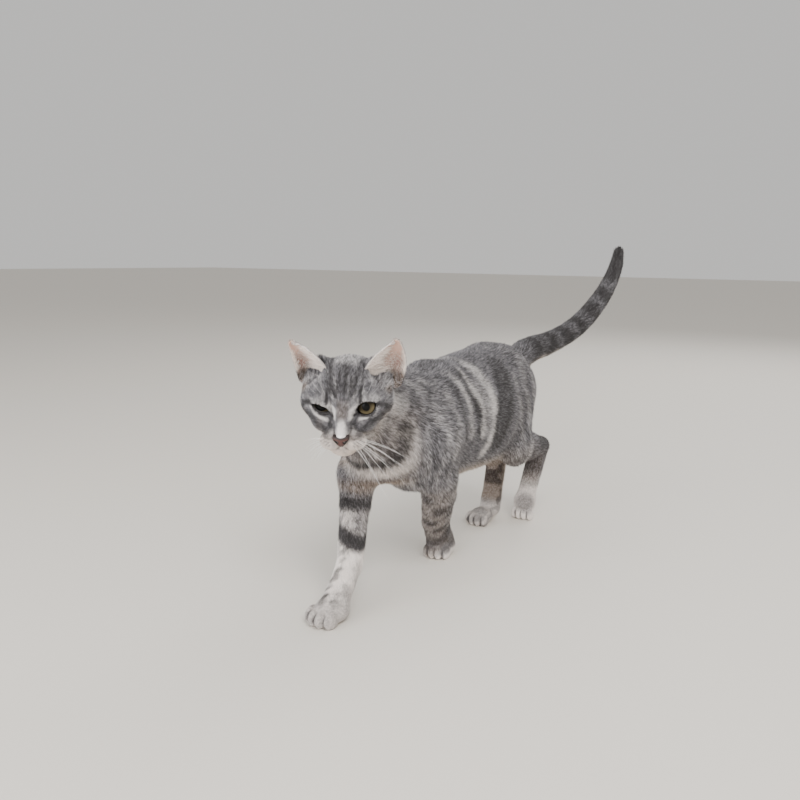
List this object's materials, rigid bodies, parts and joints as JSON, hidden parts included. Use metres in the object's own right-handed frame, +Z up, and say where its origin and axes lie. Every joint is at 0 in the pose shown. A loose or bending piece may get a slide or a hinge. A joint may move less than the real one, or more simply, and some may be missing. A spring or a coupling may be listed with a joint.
{
  "type": "cat figure",
  "caption": "Life-size still model of a young grey mackerel tabby shorthair cat, walking with its tail raised behind it and its head turned to its left.",
  "frame": {"origin": "on the floor, under the middle of the whole cat's bounding box", "axes": "the cat heads along -Y, its left side is +X, +Z is up"},
  "size_m": [0.1226, 0.6536, 0.3484],
  "materials": {
    "coat": null,
    "ear": "thin ear, pink inside under pale hairs, short grey fur behind",
    "nose": "bare brick-red nose leather, slightly damp",
    "eye": "wet eye, olive-hazel iris round a wide black pupil",
    "whisker": "stiff white hairs"
  },
  "bodies": {
    "root": {"trunk": "coat", "neck": "coat", "tail_base": "coat", "tail_middle": "coat", "tail_tip": "coat", "foreleg_right_shoulder": "coat", "foreleg_right_forearm": "coat", "foreleg_right_paw": "coat", "foreleg_left_shoulder": "coat", "foreleg_left_forearm": "coat", "foreleg_left_paw": "coat", "hindleg_right_thigh": "coat", "hindleg_right_shank": "coat", "hindleg_right_foot": "coat", "hindleg_right_paw": "coat", "hindleg_left_thigh": "coat", "hindleg_left_shank": "coat", "hindleg_left_foot": "coat", "hindleg_left_paw": "coat", "head": "coat", "nose": "nose", "eye_left": "eye", "ear_left": "ear", "eye_right": "eye", "ear_right": "ear"}
  },
  "joints": []
}
